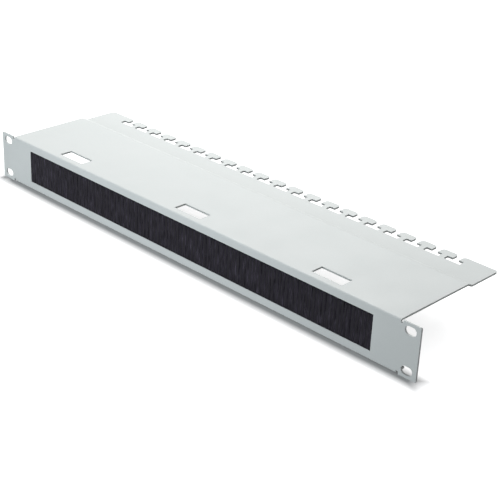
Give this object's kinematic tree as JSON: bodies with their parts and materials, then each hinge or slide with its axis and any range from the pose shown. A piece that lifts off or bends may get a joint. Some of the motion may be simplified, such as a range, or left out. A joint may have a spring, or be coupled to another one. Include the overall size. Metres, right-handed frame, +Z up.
{
  "type": "rack cable entry plate",
  "caption": "Folded steel rack panel with a brush-filled cable window, and a tray behind it that ends in a comb of T-shaped cable tie slots.",
  "frame": {"origin": "centre of the four mounting slots, on the back face of the ears, where they seat on the rack's rails", "axes": "+X along the width, to the right as seen from the front, +Y rearwards into the rack, +Z up"},
  "size_m": [0.4826, 0.1175, 0.0436],
  "materials": {
    "powder_coat": "light grey powder coat, fine satin texture",
    "zinc_steel": "galvanised, unpainted",
    "core_wire": "drawn wire",
    "bristles": "black nylon filaments"
  },
  "bodies": {
    "root": {"entry_plate": "powder_coat", "brush_channel": "zinc_steel", "brush_core_wire": "core_wire", "brush_bristles": "bristles"}
  },
  "joints": []
}
